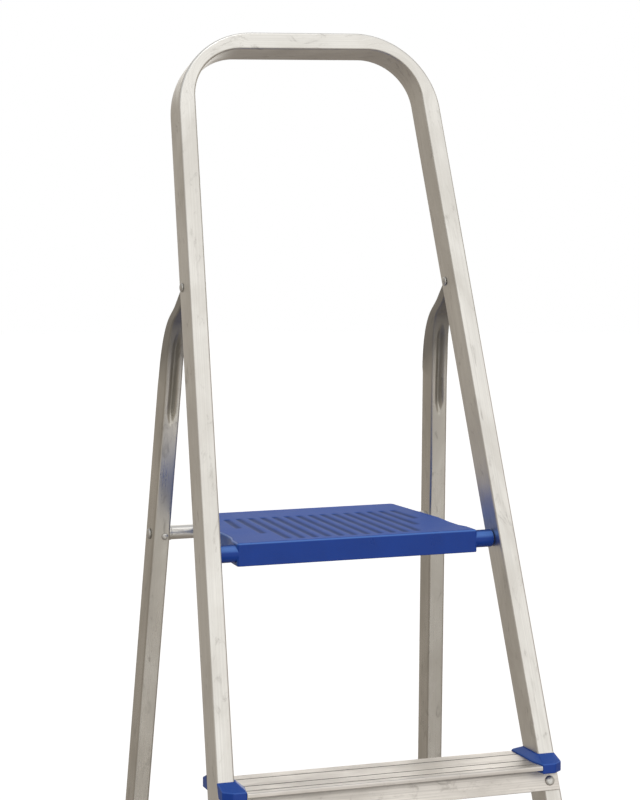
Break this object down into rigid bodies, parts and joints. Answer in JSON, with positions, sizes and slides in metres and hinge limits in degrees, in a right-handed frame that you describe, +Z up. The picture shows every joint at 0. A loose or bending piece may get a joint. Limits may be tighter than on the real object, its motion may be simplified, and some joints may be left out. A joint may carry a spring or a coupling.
{
  "type": "platform step ladder",
  "caption": "Folding aluminium step ladder with flat treads, a moulded platform and a bent-tube handrail.",
  "frame": {"origin": "on the floor, at the centre of the open ladder's footprint", "axes": "+Z up, +X to the right of someone facing the treads, -Y towards that person"},
  "size_m": [0.4722, 0.6999, 1.521],
  "materials": {
    "blue_plastic": "moulded, fine satin",
    "aluminium": "drawn tube, satin",
    "tread_aluminium": "extruded, satin",
    "zinc_plated_steel": "bright zinc plate"
  },
  "bodies": {
    "front_frame": {"front_hoop": "aluminium", "platform_pivot_rod": "zinc_plated_steel", "tread_1": "tread_aluminium", "tread_2": "tread_aluminium", "tread_3": "tread_aluminium", "tread_cap_left_1": "blue_plastic", "tread_cap_left_2": "blue_plastic", "tread_cap_left_3": "blue_plastic", "tread_cap_right_1": "blue_plastic", "tread_cap_right_2": "blue_plastic", "tread_cap_right_3": "blue_plastic", "tread_rivet_left_1": "zinc_plated_steel", "tread_rivet_left_2": "zinc_plated_steel", "tread_rivet_left_3": "zinc_plated_steel", "tread_rivet_right_1": "zinc_plated_steel", "tread_rivet_right_2": "zinc_plated_steel", "tread_rivet_right_3": "zinc_plated_steel", "front_foot_left": "blue_plastic", "front_foot_right": "blue_plastic", "hinge_pin_left": "zinc_plated_steel", "hinge_pin_right": "zinc_plated_steel"},
    "rear_frame": {"rear_leg_left": "aluminium", "rear_leg_right": "aluminium", "rear_platform_bar": "aluminium", "rear_brace_bar": "aluminium", "rear_foot_left": "blue_plastic", "rear_foot_right": "blue_plastic", "rear_platform_bar_end_rivet_left": "zinc_plated_steel", "rear_platform_bar_end_rivet_right": "zinc_plated_steel", "rear_platform_bar_lock_rivet_left": "zinc_plated_steel", "rear_platform_bar_lock_rivet_right": "zinc_plated_steel", "rear_brace_bar_end_rivet_left": "zinc_plated_steel", "rear_brace_bar_end_rivet_right": "zinc_plated_steel", "rear_brace_bar_lock_rivet_left": "zinc_plated_steel", "rear_brace_bar_lock_rivet_right": "zinc_plated_steel"},
    "platform": {"platform": "blue_plastic"}
  },
  "joints": [
    {"name": "rear_frame_hinge", "type": "hinge", "parent": "front_frame", "child": "rear_frame", "pos_m": [0, 0.11346, 1.2405], "axis": [-1, 0, 0], "range_deg": [0, 26.5]},
    {"name": "platform_hinge", "type": "hinge", "parent": "front_frame", "child": "platform", "pos_m": [0, 0.0112, 0.9598], "axis": [1, 0, 0], "range_deg": [0, 70.8]}
  ],
  "couplings": [
    {"joint": "platform_hinge", "follows": "rear_frame_hinge", "ratio": 2.67}
  ]
}
